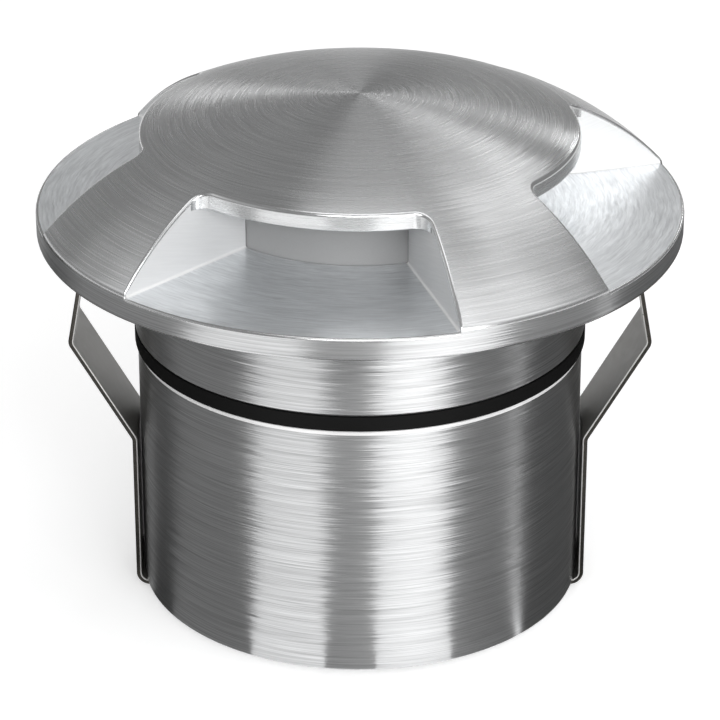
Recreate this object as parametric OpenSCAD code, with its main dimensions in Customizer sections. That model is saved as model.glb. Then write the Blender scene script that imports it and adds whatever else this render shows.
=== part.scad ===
/* [Cover] */
// Diameter of the flange
flange_d = 65; // [60:0.5:80]
// Thickness of the flange at the floors of the windows
floor_t = 2.3; // [1.8:0.1:3.5]
// Height of the dome's outer edge above the window floors
rim_lip = 0.27; // [0.1:0.01:0.8]
// Height of the dome's top above the underside of the flange
dome_h = 13.7; // [12.5:0.1:16]
// Radius of the shallow crown of the dome
crown_r = 72; // [60:1:110]
// How far the skirt below the flange stands out past the tube
skirt_proud = 0.25; // [0.05:0.05:0.8]
// Length of the skirt
skirt_l = 10.65; // [9:0.05:16]
// Length of the threaded spigot that enters the tube
spigot_l = 8; // [5:0.5:8.5]
// Wall of the threaded spigot
spigot_t = 1.6; // [1:0.1:1.8]
// Angle of the cover about the axis when it is screwed home
cover_turn = -13.3; // [-45:0.1:45]

/* [Windows] */
// Number of light windows round the cover
window_count = 4; // [2:1:4]
// Angle from the middle of a window to each side wall
window_half_angle = 30; // [20:1:34]
// Reach of the dome over a window, beyond the chamber behind it
overhang_reach = 5.78; // [4.5:0.01:7.5]
// Thickness of the dome at the cut edge
shell_t = 1.65; // [1.4:0.05:2.6]
// Radius of the corners of the cut edge, seen from above
corner_r = 1.5; // [0.5:0.1:2.5]

/* [Diffuser] */
// Share of the cover's bore that the diffuser ring takes
diffuser_share = 0.852; // [0.8:0.001:0.9]
// Wall of the diffuser ring
diffuser_t = 1.8; // [1.2:0.1:2.4]
// Thickness of the diffuser's foot flange
diffuser_foot_t = 1.2; // [0.8:0.1:1.5]
// Thickness of the rubber seals at the diffuser's two ends
diffuser_seal_t = 0.5; // [0.3:0.05:0.8]
// Height of the ring that clamps the diffuser
clamp_ring_h = 2.5; // [1.5:0.1:2.8]
// Height of the reflector cone
cone_h = 7.5; // [5:0.1:8]

/* [Housing] */
// Diameter of the housing tube
tube_d = 45.4; // [45:0.1:46.5]
// Length of the housing tube
tube_l = 27.1; // [27:0.1:34]
// Wall of the housing tube
tube_t = 2.1; // [1.9:0.1:2.4]
// Thickness of the black gasket between the skirt and the tube
gasket_t = 1.5; // [1:0.1:2]
// How far the black gasket stands out past the tube
gasket_proud = 0.3; // [0.05:0.05:0.8]
// Width of the small bevels on the turned edges
edge_break = 0.25; // [0.1:0.05:0.4]

/* [Base] */
// Height that the base cap stands below the tube
cap_proud = 1; // [1:0.1:2]
// Share of the space below the ledge that the base cap's plug takes
plug_share = 0.33113; // [0.3:0.001:0.4]
// Share of the bore's radius that the well round the cable gland takes
well_share = 0.46117; // [0.44:0.001:0.48]
// Share of the space below the ledge that the well takes
well_depth_share = 0.59603; // [0.57:0.001:0.65]

/* [Spring clips] */
// Width of the steel strip
clip_w = 9; // [6:0.5:10]
// Thickness of the steel strip
clip_t = 0.5; // [0.3:0.05:0.6]
// Gap between the strip and the tube
clip_gap = 0.15; // [0.1:0.05:0.5]
// Drop from the flange to the bend at which the arm leaves the tube
elbow_drop = 22.65; // [21:0.05:26]
// How far the arm leans out past the upright part of the strip
clip_splay = 6.25; // [4:0.05:7.5]
// Drop from the flange to the arm's outermost bend
reach_drop = 11.75; // [10:0.05:14]
// Lean of the arm's tip towards the axis
tip_lean = 10.2; // [5:0.1:11]
// Drop from the flange to the end of the arm's tip
tip_drop = 1.5; // [1.2:0.1:4]

/* [Hidden] */
$fn = 96;

// Clearances and the overrun of every cut
thread_gap = 0.08;
fit_gap = 0.1;
air_gap = 0.5;
cut = 0.5;

// Levels above the face that the light stands on
tube_z = cap_proud;
tube_top_z = tube_z + tube_l;
skirt_z = tube_top_z + gasket_t;
seat_z = skirt_z + skirt_l;
floor_z = seat_z + floor_t;
rim_z = floor_z + rim_lip;
apex_z = seat_z + dome_h;

// Crown arc of the dome, and the shoulder arc that meets it smoothly and ends at the rim
flange_r = flange_d / 2;
join_share = 0.56;
join_r = flange_r * join_share;
crown_z = apex_z - crown_r;
join_z = crown_z + sqrt(crown_r * crown_r - join_r * join_r);
join_normal = [join_r, join_z - crown_z] / crown_r;
join_to_rim = [flange_r - join_r, rim_z - join_z];
shoulder_r = -(join_to_rim * join_to_rim) / (2 * (join_to_rim * join_normal));
shoulder_centre = [join_r, join_z] - shoulder_r * join_normal;
function dome_z(r) = r < join_r
    ? crown_z + sqrt(crown_r * crown_r - r * r)
    : shoulder_centre[1] + sqrt(shoulder_r * shoulder_r - pow(r - shoulder_centre[0], 2));

// Bores of the housing and the cover
tube_r = tube_d / 2;
tube_bore_r = tube_r - tube_t;
skirt_r = tube_r + skirt_proud;
spigot_r = tube_bore_r - thread_gap;
cover_bore_r = spigot_r - spigot_t;
spigot_z = tube_top_z - spigot_l;

// Windows and the chamber behind them
diffuser_r = cover_bore_r * diffuser_share;
chamber_r = diffuser_r + fit_gap;
overhang_r = chamber_r + overhang_reach;
shell_z = dome_z(overhang_r) - shell_t;
roof_land = 1.4;
roof_z = shell_z + roof_land;
corner_centre_r = overhang_r + corner_r;
corner_angle = asin(corner_r / corner_centre_r);
corner_end_r = corner_centre_r * cos(corner_angle);

// Stack of the diffuser, from the cover's inner shoulder downwards
shoulder_floor_t = 2.1;
inner_shoulder_z = floor_z - shoulder_floor_t;
diffuser_foot_z = inner_shoulder_z - diffuser_seal_t - diffuser_foot_t;
clamp_ring_z = diffuser_foot_z - clamp_ring_h;
clamp_ring_bore_r = diffuser_r - diffuser_t + diffuser_seal_t;
foot_r = cover_bore_r - fit_gap;

// Reflector cone and its screw
cone_r = diffuser_r - diffuser_t - fit_gap - air_gap;
cone_tip_r = 2.8;
cone_z = roof_z - cone_h;
cone_screw_r = 1.25;
cone_screw_head_r = 2;
cone_screw_head_h = 1.5;
cone_screw_bite = 2.2;

// Ledge inside the tube that carries the heat sink
ledge_t = 2;
sink_flange_t = 1.5;
ledge_top_z = spigot_z - air_gap - sink_flange_t;
ledge_z = ledge_top_z - ledge_t;
ledge_bore_share = 0.650485;
ledge_bore_r = tube_bore_r * ledge_bore_share;
base_h = ledge_z - tube_z;

// Heat sink
sink_flange_r = tube_bore_r - fit_gap;
sink_core_radius_share = 0.679612;
sink_core_r = tube_bore_r * sink_core_radius_share;
sink_fin_r = cover_bore_r - 2 * air_gap;
sink_fin_t = 1.2;
sink_fin_count = 5;
sink_post_radius_share = 0.965;
sink_post_r = clamp_ring_bore_r * sink_post_radius_share;
sink_post_h = 1.2;
board_radius_share = 0.9447;
board_r = clamp_ring_bore_r * board_radius_share;
board_t = 1.2;
pad_t = 0.3;
sink_post_z = clamp_ring_z - air_gap;
pad_z = sink_post_z + sink_post_h;
board_z = pad_z + pad_t;
sink_fin_z = ledge_top_z + sink_flange_t;
sink_fin_pitch = (sink_post_z - sink_fin_z) / sink_fin_count;

// Light-emitting chips on the board
chip_count = 8;
chip_width_share = 0.2143;
chip_w = board_r * chip_width_share;
chip_h = 0.8;
chip_ring_radius_share = 0.6071;
chip_ring_r = board_r * chip_ring_radius_share;
board_screw_count = 3;
board_screw_ring_radius_share = 0.8571;
board_screw_ring_r = board_r * board_screw_ring_radius_share;
board_screw_angle = 180 / board_screw_count;
board_screw_radius_share = 0.0643;
board_screw_r = board_r * board_screw_radius_share;
board_screw_head_radius_share = 0.1143;
board_screw_head_r = board_r * board_screw_head_radius_share;
board_screw_head_h = 1;
board_screw_bite = 3;
lead_ring_radius_share = 0.9;
lead_ring_r = board_r * lead_ring_radius_share;
lead_spacing_share = 0.116505;
lead_spacing = tube_bore_r * lead_spacing_share;
lead_radius_share = 0.021845;
lead_r = tube_bore_r * lead_radius_share;
lead_hole_radius_share = 0.038835;
lead_hole_r = tube_bore_r * lead_hole_radius_share;

// Base cap
plinth_inset = 3.5;
plinth_r = tube_r - plinth_inset;
plug_r = tube_bore_r - fit_gap;
plug_h = base_h * plug_share;
plug_top_z = cap_proud + plug_h;
well_r = tube_bore_r * well_share;
well_wall_share = 0.097087;
well_wall = tube_bore_r * well_wall_share;
well_h = cap_proud + base_h * well_depth_share;
well_roof_share = 0.13245;
well_roof_t = base_h * well_roof_share;
well_top_z = well_h + well_roof_t;
groove_gap = 0.15;
seal_r = 0.75;
seal_gap = 0.01;
seal_centre_r = tube_bore_r - seal_r - seal_gap;
seal_groove_r = seal_centre_r - seal_r - seal_gap;
seal_groove_h = 2;
seal_height_share = 0.56;
seal_z = cap_proud + plug_h * seal_height_share;

// Driver board round the gland well
driver_bore_r = well_r + well_wall + air_gap;
driver_r = tube_bore_r - 2 * air_gap;
driver_thickness_share = 0.10596;
driver_t = base_h * driver_thickness_share;
spacer_low_height_share = 0.198675;
spacer_low_h = base_h * spacer_low_height_share;
driver_z = plug_top_z + spacer_low_h;
driver_top_z = driver_z + driver_t;
tie_count = 3;
tie_ring_radius_share = 0.757282;
tie_ring_r = tube_bore_r * tie_ring_radius_share;
tie_start_angle = 90;
tie_r = 1.2;
tie_gap = 0.1;
tie_head_r = 2.1;
tie_head_h = 1.8;
tie_head_inset = 0.2;
tie_end_inset = 0.2;
spacer_r = 2.3;
spacer_bore_r = tie_r + tie_gap;
part_ring_radius_share = 0.76699;
part_ring_r = tube_bore_r * part_ring_radius_share;
capacitor_radius_share = 0.121359;
capacitor_r = tube_bore_r * capacitor_radius_share;
capacitor_height_share = 0.331126;
capacitor_h = base_h * capacitor_height_share;
capacitor_angle = 150;
choke_radius_share = 0.15534;
choke_r = tube_bore_r * choke_radius_share;
choke_height_share = 0.278146;
choke_h = base_h * choke_height_share;
choke_waist_radius_share = 0.106796;
choke_waist_r = tube_bore_r * choke_waist_radius_share;
choke_lip_height_share = 0.05298;
choke_lip_h = base_h * choke_lip_height_share;
choke_angle = 30;
rectifier_shares = [0.194175, 0.242718];
rectifier_height_share = 0.165563;
rectifier_size = [
    tube_bore_r * rectifier_shares[0],
    tube_bore_r * rectifier_shares[1],
    base_h * rectifier_height_share
];
rectifier_angle = 180;
terminal_shares = [0.291262, 0.38835];
terminal_height_share = 0.357616;
terminal_size = [
    tube_bore_r * terminal_shares[0],
    tube_bore_r * terminal_shares[1],
    base_h * terminal_height_share
];
terminal_angle = 270;
terminal_hole_radius_share = 0.053398;
terminal_hole_r = tube_bore_r * terminal_hole_radius_share;
terminal_hole_spacing_share = 0.184466;
terminal_hole_spacing = tube_bore_r * terminal_hole_spacing_share;
terminal_screw_inset_share = 0.099338;
terminal_screw_inset = base_h * terminal_screw_inset_share;

// Steel strip of a spring clip, as the line along its middle
strip_x = tube_r + clip_gap + clip_t / 2;
foot_end_share = 0.582524;
foot_end_x = tube_bore_r * foot_end_share;
foot_z = cap_proud - clip_t / 2;
foot_bend_r = 1.15;
arm_bend_r = 1;
elbow_gap = 0.1;
tip_z = seat_z - tip_drop;
bend_steps = 6;
reach_point = [strip_x + clip_splay, seat_z - reach_drop];
tip_point = [reach_point[0] - (reach_drop - tip_drop) * tan(tip_lean), tip_z];
elbow_point = [strip_x, seat_z - elbow_drop];
arm_direction = (reach_point - elbow_point) / norm(reach_point - elbow_point);
arm_start = elbow_point + arm_direction * (clip_t / 2 + elbow_gap);
rivet_place_shares = [0.674757, 0.849515];
rivet_places = tube_bore_r * rivet_place_shares;
rivet_radius_share = 0.053398;
rivet_r = tube_bore_r * rivet_radius_share;
rivet_head_radius_share = 0.082524;
rivet_head_r = tube_bore_r * rivet_head_radius_share;
rivet_head_h = 0.4;
rivet_bite = 2.6;

// Cable gland in the well of the base cap
gland_neck_radius_share = 0.286408;
gland_neck_r = tube_bore_r * gland_neck_radius_share;
gland_flats_share = 0.631068;
gland_flats = tube_bore_r * gland_flats_share;
gland_flange_height_share = 0.18543;
gland_flange_h = base_h * gland_flange_height_share;
gland_washer_thickness_share = 0.05298;
gland_washer_t = base_h * gland_washer_thickness_share;
gland_washer_radius_share = 0.368932;
gland_washer_r = tube_bore_r * gland_washer_radius_share;
locknut_height_share = 0.198675;
locknut_h = base_h * locknut_height_share;
locknut_flats_share = 0.728155;
locknut_flats = tube_bore_r * locknut_flats_share;
gland_neck_top_z = well_top_z + locknut_h + air_gap;
gland_bore_radius_share = 0.165049;
gland_bore_r = tube_bore_r * gland_bore_radius_share;
gland_flange_z = well_h - gland_washer_t - gland_flange_h;
gland_thread_radius_share = 0.271845;
gland_thread_r = tube_bore_r * gland_thread_radius_share;
gland_thread_level_share = 0.172185;
gland_thread_z = base_h * gland_thread_level_share;
gland_nut_z = 0.6;
gland_nut_lip_thickness_share = 0.10596;
gland_nut_lip_t = base_h * gland_nut_lip_thickness_share;
gland_nut_mouth_radius_share = 0.165049;
gland_nut_mouth_r = tube_bore_r * gland_nut_mouth_radius_share;
gland_nut_bore_r = gland_thread_r + thread_gap;
gland_nut_gap = 0.4;
gland_nut_chamfer_share = 0.029126;
gland_nut_chamfer = tube_bore_r * gland_nut_chamfer_share;
gland_seal_radius_share = 0.218447;
gland_seal_r = tube_bore_r * gland_seal_radius_share;
gland_seal_bore_radius_share = 0.148058;
gland_seal_bore_r = tube_bore_r * gland_seal_bore_radius_share;
gland_seal_length_share = 0.331126;
gland_seal_l = base_h * gland_seal_length_share;
gland_cup_r = gland_seal_r + seal_gap;
gland_seal_z = gland_nut_z + gland_nut_lip_t;

// Shapes in common

module ring(outer_r, inner_r, z, h) {
    translate([0, 0, z])
        difference() {
            cylinder(r = outer_r, h = h);
            translate([0, 0, -cut]) cylinder(r = inner_r, h = h + 2 * cut);
        }
}

module disc(r, z, h) {
    translate([0, 0, z]) cylinder(r = r, h = h);
}

module hexagon(flats, z, h) {
    translate([0, 0, z]) cylinder(d = flats / cos(30), h = h, $fn = 6);
}

// Puts its children once at each of count places round the axis
module round_axis(count, ring_r, start = 0) {
    for (i = [0 : count - 1])
        rotate([0, 0, start + i * 360 / count]) translate([ring_r, 0, 0]) children();
}

// Line along one side of a bent strip: points p with bends of radius r, moved off to the left by off
function left_of(v) = [-v[1], v[0]];
function unit(v) = v / norm(v);
function bend_arc(a, b, c, r, off) =
    let (
        u = unit(b - a),
        w = unit(c - b),
        side = sign(cross(u, w)),
        turn = acos(u * w),
        centre = b - u * r * tan(turn / 2) + side * r * left_of(u),
        start = atan2(-side * left_of(u)[1], -side * left_of(u)[0])
    )
    [for (i = [0 : bend_steps])
        let (t = start + side * turn * i / bend_steps)
        centre + (r - side * off) * [cos(t), sin(t)]];
function strip_side(p, r, off) = concat(
    [p[0] + off * left_of(unit(p[1] - p[0]))],
    [for (i = [1 : len(p) - 2]) each bend_arc(p[i - 1], p[i], p[i + 1], r[i - 1], off)],
    [p[len(p) - 1] + off * left_of(unit(p[len(p) - 1] - p[len(p) - 2]))]
);
function reversed(list) = [for (i = [len(list) - 1 : -1 : 0]) list[i]];

// Strip of steel whose middle line runs in the plane of x and z
module strip(points, radii) {
    rotate([90, 0, 0])
        linear_extrude(clip_w, center = true)
            polygon(concat(
                strip_side(points, radii, clip_t / 2),
                reversed(strip_side(points, radii, -clip_t / 2))
            ));
}

// Cover

module dome_profile() {
    intersection() {
        translate([0, crown_z]) circle(r = crown_r, $fn = 360);
        translate([0, seat_z]) square([join_r, dome_h]);
    }
    intersection() {
        translate(shoulder_centre) circle(r = shoulder_r, $fn = 240);
        translate([join_r, seat_z]) square([flange_r - join_r, dome_h]);
    }
}

module skirt_profile() {
    polygon([
        [cover_bore_r, spigot_z],
        [spigot_r - edge_break, spigot_z],
        [spigot_r, spigot_z + edge_break],
        [spigot_r, skirt_z],
        [skirt_r - edge_break, skirt_z],
        [skirt_r, skirt_z + edge_break],
        [skirt_r, seat_z + floor_t / 2],
        [cover_bore_r, seat_z + floor_t / 2]
    ]);
}

module wedge(half_angle) {
    reach = flange_d;
    polygon([[0, 0], [-reach * sin(half_angle), -reach * cos(half_angle)],
        [reach * sin(half_angle), -reach * cos(half_angle)]]);
}

// Plan of the opening in the dome above a window, with rounded inner corners
module opening_plan() {
    difference() {
        wedge(window_half_angle - corner_angle);
        circle(r = overhang_r);
    }
    difference() {
        wedge(window_half_angle);
        circle(r = corner_end_r);
    }
    for (side = [-1, 1])
        rotate(side * (window_half_angle - corner_angle))
            translate([0, -corner_centre_r]) circle(r = corner_r);
}

module window_cut() {
    translate([0, 0, floor_z]) linear_extrude(shell_z - floor_z + cut) opening_plan();
    translate([0, 0, floor_z])
        linear_extrude(shell_z - floor_z)
            wedge(window_half_angle);
    translate([0, 0, shell_z]) linear_extrude(apex_z - shell_z) opening_plan();
}

module cover() {
    color([0.74, 0.74, 0.75])
        difference() {
            rotate_extrude() {
                dome_profile();
                skirt_profile();
            }
            translate([0, 0, spigot_z - cut])
                cylinder(r = cover_bore_r, h = inner_shoulder_z - spigot_z + cut);
            translate([0, 0, spigot_z])
                cylinder(r = chamber_r, h = roof_z - spigot_z);
            disc(cone_screw_r, roof_z - cut, cone_screw_bite + cut);
            for (i = [0 : window_count - 1])
                rotate([0, 0, cover_turn + i * 360 / window_count]) window_cut();
        }
}

module diffuser_ring() {
    color([0.78, 0.78, 0.77]) {
        difference() {
            union() {
                disc(diffuser_r, diffuser_foot_z, roof_z - diffuser_seal_t - diffuser_foot_z);
                disc(foot_r, diffuser_foot_z, diffuser_foot_t);
            }
            disc(diffuser_r - diffuser_t, diffuser_foot_z - cut, roof_z - diffuser_foot_z + cut);
        }
    }
}

module diffuser_seal_upper() {
    color([0.12, 0.12, 0.12])
        ring(diffuser_r, diffuser_r - diffuser_t, roof_z - diffuser_seal_t, diffuser_seal_t);
}

module diffuser_seal_lower() {
    color([0.12, 0.12, 0.12])
        ring(foot_r, chamber_r, inner_shoulder_z - diffuser_seal_t, diffuser_seal_t);
}

module clamp_ring() {
    color([0.6, 0.6, 0.6])
        ring(cover_bore_r - thread_gap, clamp_ring_bore_r, clamp_ring_z, clamp_ring_h);
}

module reflector_cone() {
    color([0.9, 0.9, 0.92])
        difference() {
            translate([0, 0, cone_z]) cylinder(r1 = cone_tip_r, r2 = cone_r, h = cone_h);
            disc(cone_screw_head_r + fit_gap, cone_z - cut, cone_screw_head_h + cut);
            disc(cone_screw_r + fit_gap, cone_z, cone_h + cut);
        }
}

module reflector_screw() {
    color([0.7, 0.7, 0.7]) {
        disc(cone_screw_r - seal_gap, cone_z, roof_z - cone_z + cone_screw_bite - fit_gap);
        disc(cone_screw_head_r, cone_z, cone_screw_head_h);
    }
}

// Housing

module housing_gasket() {
    color([0.06, 0.06, 0.06])
        ring(tube_r + gasket_proud, spigot_r + thread_gap, tube_top_z, gasket_t);
}

module housing_tube() {
    color([0.7, 0.7, 0.71])
        difference() {
            rotate_extrude()
                polygon([
                    [tube_bore_r, tube_z],
                    [tube_r - edge_break, tube_z],
                    [tube_r, tube_z + edge_break],
                    [tube_r, tube_top_z - edge_break],
                    [tube_r - edge_break, tube_top_z],
                    [tube_bore_r, tube_top_z],
                    [tube_bore_r, ledge_top_z],
                    [ledge_bore_r, ledge_top_z],
                    [ledge_bore_r, ledge_z],
                    [tube_bore_r, ledge_z]
                ]);
            round_axis(tie_count, tie_ring_r, tie_start_angle)
                disc(tie_r + tie_gap, ledge_z - cut, ledge_t + 2 * cut);
            for (side = [-1, 1]) rotate([0, 0, 90 - side * 90]) foot_relief();
        }
}

// Notch in the tube's lower edge that clears the inside of a clip's bottom bend
module foot_relief() {
    start_x = strip_x - foot_bend_r - fit_gap;
    translate([start_x, -clip_w / 2 - groove_gap, tube_z - cut])
        cube([
            tube_r + cut - start_x,
            clip_w + 2 * groove_gap,
            foot_z + foot_bend_r + fit_gap - tube_z + cut
        ]);
}

module heat_sink() {
    color([0.8, 0.8, 0.82])
        difference() {
            union() {
                disc(sink_flange_r, ledge_top_z, sink_flange_t);
                disc(sink_core_r, ledge_top_z, sink_post_z - ledge_top_z);
                for (i = [1 : sink_fin_count])
                    disc(sink_fin_r, sink_fin_z + i * sink_fin_pitch - sink_fin_t, sink_fin_t);
                disc(sink_post_r, sink_post_z, sink_post_h);
            }
            lead_places() disc(lead_hole_r, ledge_top_z - cut, pad_z - ledge_top_z + 2 * cut);
            round_axis(tie_count, tie_ring_r, tie_start_angle)
                disc(tie_r + seal_gap, ledge_top_z - cut, sink_flange_t + 2 * cut);
            round_axis(board_screw_count, board_screw_ring_r, board_screw_angle)
                disc(board_screw_r + seal_gap, pad_z - board_screw_bite, board_screw_bite + cut);
        }
}

// Puts its children at both leads of the board
module lead_places() {
    for (side = [-1, 1])
        translate([lead_ring_r, side * lead_spacing / 2, 0]) children();
}

module thermal_pad() {
    color([0.55, 0.6, 0.7])
        difference() {
            disc(board_r, pad_z, pad_t);
            lead_places() disc(lead_hole_r, pad_z - cut, pad_t + 2 * cut);
            round_axis(board_screw_count, board_screw_ring_r, board_screw_angle)
                disc(board_screw_r + fit_gap, pad_z - cut, pad_t + 2 * cut);
        }
}

module led_board() {
    color([0.93, 0.93, 0.9])
        difference() {
            disc(board_r, board_z, board_t);
            lead_places() disc(lead_r + fit_gap, board_z - cut, board_t + 2 * cut);
            round_axis(board_screw_count, board_screw_ring_r, board_screw_angle)
                disc(board_screw_r + fit_gap, board_z - cut, board_t + 2 * cut);
        }
}

module led_chips() {
    color([0.95, 0.85, 0.4])
        round_axis(chip_count, chip_ring_r)
            translate([-chip_w / 2, -chip_w / 2, board_z + board_t])
                cube([chip_w, chip_w, chip_h]);
}

module led_board_screws() {
    color([0.7, 0.7, 0.7])
        round_axis(board_screw_count, board_screw_ring_r, board_screw_angle) {
            disc(board_screw_r, pad_z - board_screw_bite + fit_gap,
                board_t + pad_t + board_screw_bite);
            disc(board_screw_head_r, board_z + board_t, board_screw_head_h);
        }
}

module led_leads() {
    color([0.7, 0.12, 0.1])
        lead_places() disc(lead_r, driver_top_z, board_z + board_t - driver_top_z);
}

// Driver

module driver_board() {
    color([0.1, 0.4, 0.2])
        difference() {
            ring(driver_r, driver_bore_r, driver_z, driver_t);
            round_axis(tie_count, tie_ring_r, tie_start_angle)
                disc(tie_r + tie_gap, driver_z - cut, driver_t + 2 * cut);
        }
}

module capacitor() {
    color([0.15, 0.18, 0.3])
        rotate([0, 0, capacitor_angle]) translate([part_ring_r, 0, 0])
            disc(capacitor_r, driver_top_z, capacitor_h);
}

module choke() {
    color([0.2, 0.2, 0.2])
        rotate([0, 0, choke_angle]) translate([part_ring_r, 0, 0]) {
            disc(choke_waist_r, driver_top_z, choke_h);
            disc(choke_r, driver_top_z, choke_lip_h);
            disc(choke_r, driver_top_z + choke_h - choke_lip_h, choke_lip_h);
        }
}

module rectifier() {
    color([0.08, 0.08, 0.08])
        rotate([0, 0, rectifier_angle])
            translate([part_ring_r - rectifier_size[0] / 2, -rectifier_size[1] / 2, driver_top_z])
                cube(rectifier_size);
}

module terminal_block() {
    color([0.2, 0.5, 0.3])
        rotate([0, 0, terminal_angle])
            difference() {
                translate([part_ring_r - terminal_size[0] / 2, -terminal_size[1] / 2, driver_top_z])
                    cube(terminal_size);
                for (side = [-1, 1]) {
                    translate([part_ring_r, side * terminal_hole_spacing / 2, 0])
                        disc(terminal_hole_r, driver_top_z + terminal_screw_inset, terminal_size[2]);
                }
            }
}

module board_spacers() {
    color([0.85, 0.85, 0.8])
        round_axis(tie_count, tie_ring_r, tie_start_angle) {
            ring(spacer_r, spacer_bore_r, plug_top_z, spacer_low_h);
            ring(spacer_r, spacer_bore_r, driver_top_z, ledge_z - driver_top_z - seal_gap);
        }
}

// Base

module base_cap() {
    color([0.66, 0.66, 0.67])
        difference() {
            union() {
                disc(plinth_r, 0, cap_proud);
                disc(plug_r, cap_proud, plug_h);
                disc(well_r + well_wall, cap_proud, well_top_z - cap_proud);
            }
            disc(well_r, -cut, well_h + cut);
            disc(gland_neck_r + fit_gap, 0, well_top_z + cut);
            ring(tube_r, seal_groove_r, seal_z - seal_groove_h / 2, seal_groove_h);
            translate([-tube_r, -clip_w / 2 - groove_gap, -cut])
                cube([tube_d, clip_w + 2 * groove_gap, cap_proud + cut]);
            round_axis(tie_count, tie_ring_r, tie_start_angle) {
                disc(tie_r + tie_gap, -cut, plug_top_z + 2 * cut);
                disc(tie_head_r + fit_gap, -cut, tie_head_inset + tie_head_h + cut);
            }
            rivet_sites() disc(rivet_r, cap_proud - cut, rivet_bite + cut);
        }
}

module base_seal() {
    color([0.1, 0.1, 0.1])
        translate([0, 0, seal_z])
            rotate_extrude() translate([seal_centre_r, 0]) circle(r = seal_r, $fn = 48);
}

module tie_screws() {
    color([0.68, 0.68, 0.68])
        round_axis(tie_count, tie_ring_r, tie_start_angle) {
            disc(tie_head_r, tie_head_inset, tie_head_h);
            disc(tie_r, tie_head_inset, ledge_top_z + sink_flange_t - tie_end_inset - tie_head_inset);
        }
}

// Spring clips, drawn for the side of +x and mirrored for the other

// Puts its children at the rivets of both clips
module rivet_sites() {
    for (side = [-1, 1])
        for (x = rivet_places)
            translate([side * x, 0, 0]) children();
}

module clip_foot() {
    color([0.62, 0.62, 0.6])
        difference() {
            union() {
                strip([[foot_end_x, foot_z], [strip_x, foot_z], elbow_point], [foot_bend_r]);
                translate([elbow_point[0], 0, elbow_point[1]])
                    rotate([90, 0, 0]) cylinder(d = clip_t, h = clip_w, center = true, $fn = 48);
            }
            rivet_sites() disc(rivet_r, -cut, cap_proud + cut);
        }
}

module clip_arm() {
    color([0.62, 0.62, 0.6]) strip([arm_start, reach_point, tip_point], [arm_bend_r]);
}

module clip_foot_right() {
    clip_foot();
}

module clip_foot_left() {
    mirror([1, 0, 0]) clip_foot();
}

module clip_arm_right() {
    clip_arm();
}

module clip_arm_left() {
    mirror([1, 0, 0]) clip_arm();
}

module clip_rivets() {
    color([0.6, 0.6, 0.6])
        rivet_sites() {
            disc(rivet_r - seal_gap, cap_proud - clip_t - rivet_head_h, clip_t + rivet_head_h + rivet_bite);
            disc(rivet_head_r, cap_proud - clip_t - rivet_head_h, rivet_head_h);
        }
}

// Cable gland

module gland_body() {
    color([0.16, 0.16, 0.17])
        difference() {
            union() {
                disc(gland_neck_r, gland_flange_z, gland_neck_top_z - gland_flange_z);
                hexagon(gland_flats, gland_flange_z, gland_flange_h);
                disc(gland_thread_r, gland_thread_z, gland_flange_z - gland_thread_z);
            }
            disc(gland_bore_r, gland_thread_z, gland_neck_top_z);
            disc(gland_cup_r, gland_thread_z - cut, gland_seal_z + gland_seal_l - gland_thread_z + cut);
        }
}

module gland_washer() {
    color([0.1, 0.1, 0.1])
        ring(gland_washer_r, gland_neck_r + fit_gap, well_h - gland_washer_t, gland_washer_t);
}

module gland_locknut() {
    color([0.18, 0.18, 0.18])
        difference() {
            hexagon(locknut_flats, well_top_z, locknut_h);
            disc(gland_neck_r + thread_gap, well_top_z - cut, locknut_h + 2 * cut);
        }
}

module gland_seal() {
    color([0.08, 0.08, 0.08])
        ring(gland_seal_r, gland_seal_bore_r, gland_seal_z, gland_seal_l);
}

module gland_nut() {
    nut_h = gland_flange_z - gland_nut_gap - gland_nut_z;
    color([0.16, 0.16, 0.17])
        difference() {
            intersection() {
                hexagon(gland_flats, gland_nut_z, nut_h);
                translate([0, 0, gland_nut_z])
                    cylinder(r1 = gland_flats / 2 - gland_nut_chamfer,
                        r2 = gland_flats / 2 - gland_nut_chamfer + nut_h, h = nut_h);
            }
            disc(gland_nut_mouth_r, gland_nut_z - cut, nut_h);
            disc(gland_nut_bore_r, gland_seal_z, nut_h + cut);
        }
}

cover();
diffuser_ring();
diffuser_seal_upper();
diffuser_seal_lower();
clamp_ring();
reflector_cone();
reflector_screw();
housing_gasket();
housing_tube();
heat_sink();
thermal_pad();
led_board();
led_chips();
led_board_screws();
led_leads();
driver_board();
capacitor();
choke();
rectifier();
terminal_block();
board_spacers();
base_cap();
base_seal();
tie_screws();
clip_foot_left();
clip_foot_right();
clip_arm_left();
clip_arm_right();
clip_rivets();
gland_body();
gland_washer();
gland_locknut();
gland_seal();
gland_nut();
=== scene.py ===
"""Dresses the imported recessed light: its turned cover, its spring strips, their steel and the studio."""

import math

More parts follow.
